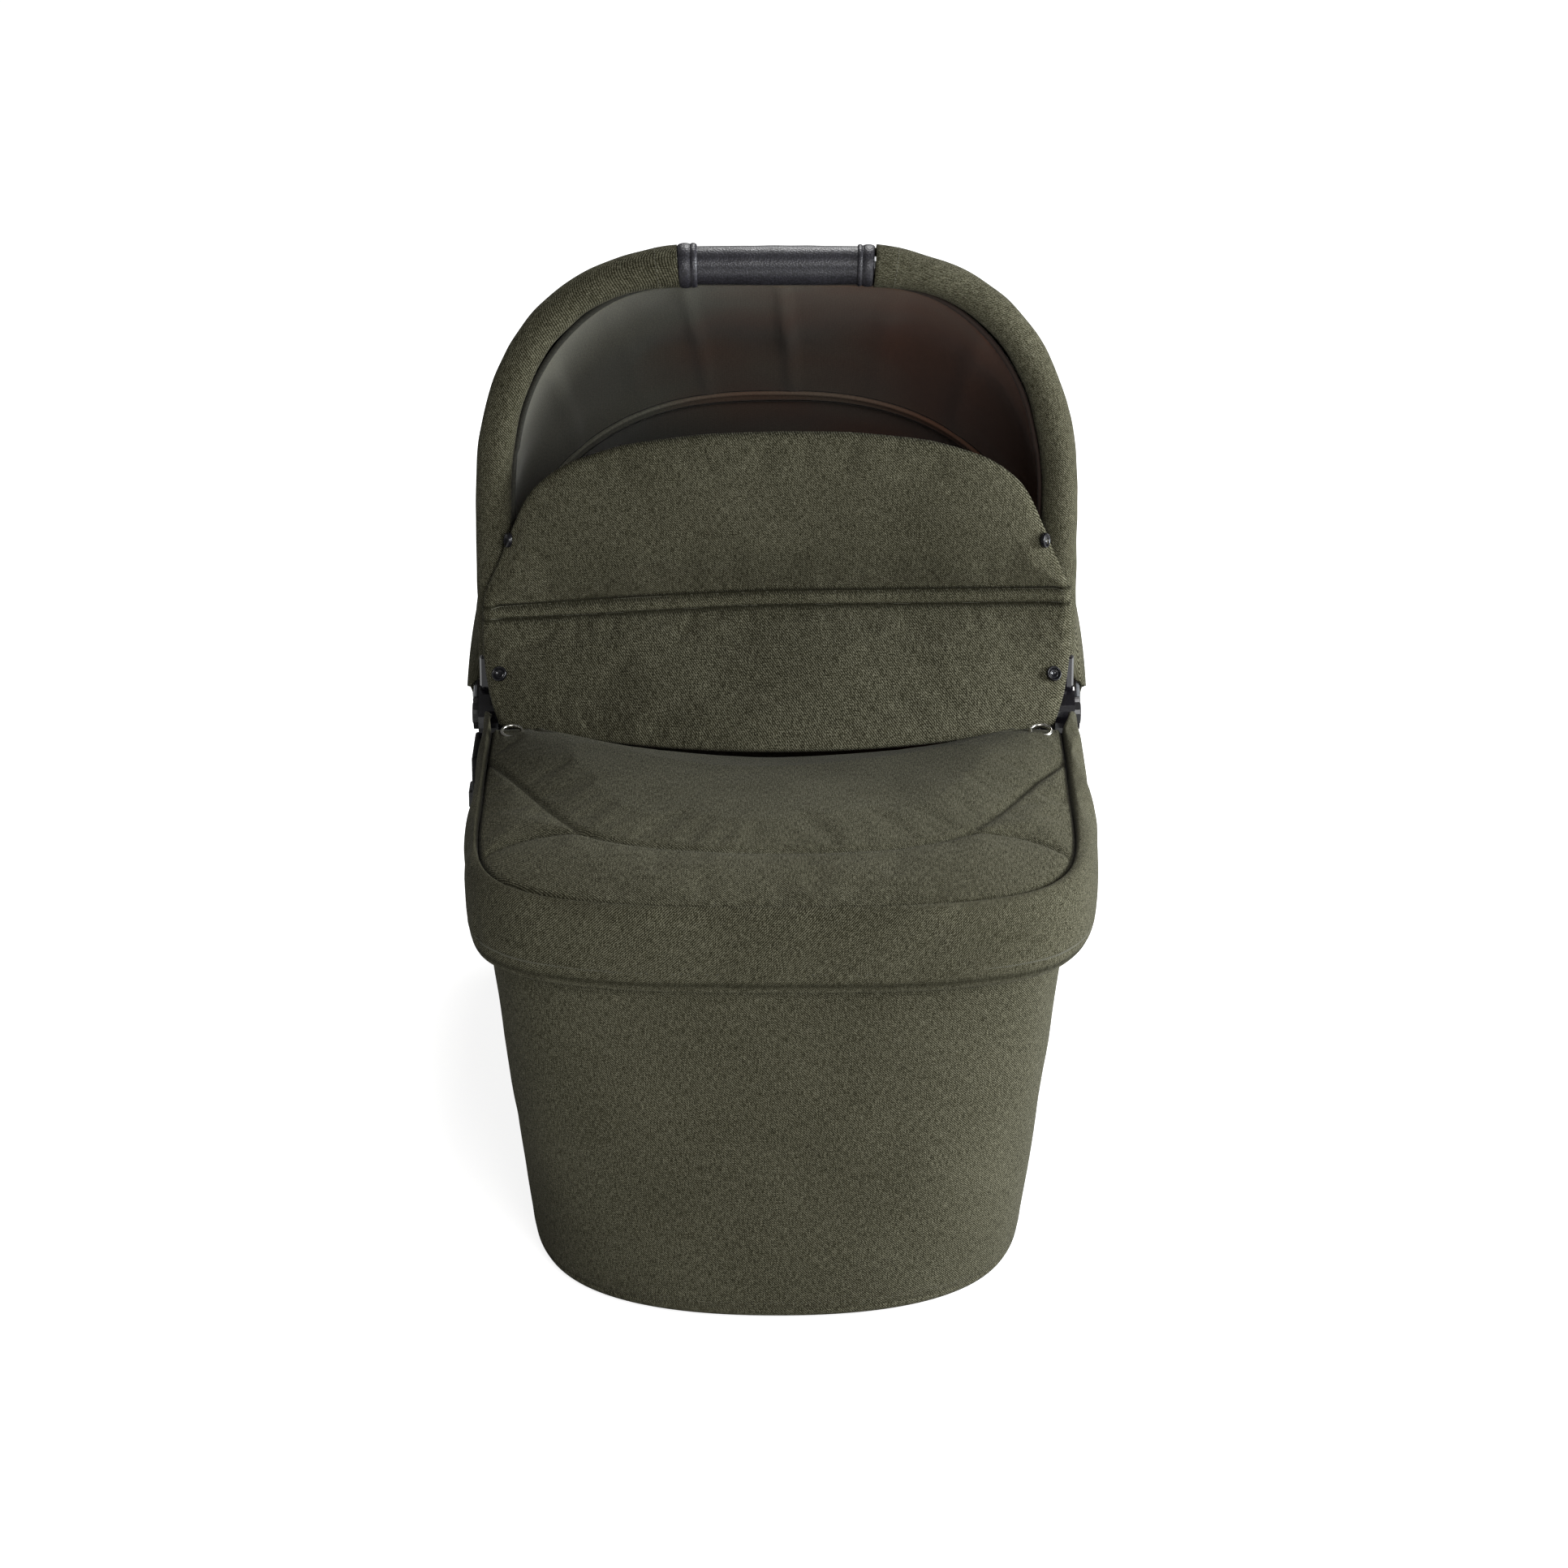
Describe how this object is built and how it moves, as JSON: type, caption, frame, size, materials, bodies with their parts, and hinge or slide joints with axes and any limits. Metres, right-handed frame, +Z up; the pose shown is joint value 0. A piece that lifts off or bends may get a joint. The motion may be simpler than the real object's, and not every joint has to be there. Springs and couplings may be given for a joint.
{
  "type": "carrycot",
  "caption": "Padded carrycot with a folding tub, hood on a carrying bow, buttoned apron with a raised wind flap, and sockets for chassis adaptors.",
  "frame": {"origin": "on the ground under the middle of the cot", "axes": "+X to the right of someone who looks from the foot end, +Y towards the head end, +Z up"},
  "size_m": [0.453, 0.895, 0.6537],
  "materials": {
    "fabric": "melange twill",
    "lining": "smooth woven",
    "leather": "grained",
    "plastic": "gloss",
    "steel": "satin",
    "tube": "anodised",
    "rubber": "matt",
    "ticking": "knitted",
    "board": "matt",
    "snap": "satin"
  },
  "bodies": {
    "base": {"base_pan": "plastic", "base_foot_foot_left": "rubber", "base_foot_foot_right": "rubber", "base_foot_head_left": "rubber", "base_foot_head_right": "rubber", "floor_board": "board", "mattress": "ticking", "tub_fabric": "fabric", "tub_lining": "lining", "stay_clip_foot": "plastic", "stay_clip_head": "plastic"},
    "rim": {"rim_tube": "tube", "hub_housing_left": "plastic", "hub_housing_right": "plastic", "pivot_pin_left": "steel", "pivot_pin_right": "steel", "mount_receiver_left": "plastic", "mount_receiver_right": "plastic", "apron": "fabric", "apron_snap_left": "snap", "apron_snap_right": "snap", "hood_shell": "fabric", "hood_lining": "lining"},
    "foot_stay": {"foot_stay": "steel"},
    "head_stay": {"head_stay": "steel"},
    "hood_bow": {"bow_tube": "tube", "bow_sleeve_left": "fabric", "bow_sleeve_right": "fabric", "handle_grip": "leather", "grip_collar_left": "leather", "grip_collar_right": "leather", "bow_arm_left": "plastic", "bow_arm_right": "plastic"},
    "hood_rib": {"hood_rib": "steel", "rib_eye_left": "plastic", "rib_eye_right": "plastic"},
    "hood_button_left": {"hood_button_left": "plastic"},
    "hood_button_right": {"hood_button_right": "plastic"},
    "release_left": {"release_button_left": "plastic"},
    "release_right": {"release_button_right": "plastic"},
    "wind_flap": {"wind_flap": "fabric", "flap_snap_lower_left": "plastic", "flap_snap_lower_right": "plastic", "flap_snap_upper_left": "plastic", "flap_snap_upper_right": "plastic"}
  },
  "joints": [
    {"name": "tub_fold", "type": "slide", "parent": "base", "child": "rim", "axis": [0, 0, -1], "range_m": [0, 0.175], "deforming": ["tub_fabric", "tub_lining"]},
    {"name": "foot_stay_fold", "type": "hinge", "parent": "rim", "child": "foot_stay", "pos_m": [0, -0.012, 0.25], "axis": [-1, 0, 0], "range_deg": [0, 26.1]},
    {"name": "head_stay_fold", "type": "hinge", "parent": "rim", "child": "head_stay", "pos_m": [0, 0.012, 0.25], "axis": [1, 0, 0], "range_deg": [0, 26.1]},
    {"name": "hood_fold", "type": "hinge", "parent": "rim", "child": "hood_bow", "pos_m": [0, 0, 0.3], "axis": [-1, 0, 0], "range_deg": [0, 76], "deforming": ["hood_shell", "hood_lining"]},
    {"name": "rib_fold", "type": "hinge", "parent": "rim", "child": "hood_rib", "pos_m": [0, 0, 0.3], "axis": [-1, 0, 0], "range_deg": [0, 30.5]},
    {"name": "flap_fold", "type": "hinge", "parent": "rim", "child": "wind_flap", "pos_m": [0, -0.08, 0.34], "axis": [1, 0, 0], "range_deg": [0, 104]},
    {"name": "hood_button_press_left", "type": "slide", "parent": "hood_bow", "child": "hood_button_left", "axis": [1, 0, 0], "range_m": [0, 0.0028], "stiffness_N_per_m": 400},
    {"name": "release_press_left", "type": "slide", "parent": "rim", "child": "release_left", "axis": [1, 0, 0], "range_m": [0, 0.003], "stiffness_N_per_m": 400},
    {"name": "hood_button_press_right", "type": "slide", "parent": "hood_bow", "child": "hood_button_right", "axis": [-1, 0, 0], "range_m": [0, 0.0028], "stiffness_N_per_m": 400},
    {"name": "release_press_right", "type": "slide", "parent": "rim", "child": "release_right", "axis": [-1, 0, 0], "range_m": [0, 0.003], "stiffness_N_per_m": 400}
  ],
  "couplings": [
    {"joint": "foot_stay_fold", "follows": "tub_fold", "rad_per_m": 2.5918},
    {"joint": "head_stay_fold", "follows": "tub_fold", "rad_per_m": 2.5918},
    {"joint": "rib_fold", "follows": "hood_fold", "ratio": 0.395}
  ]
}
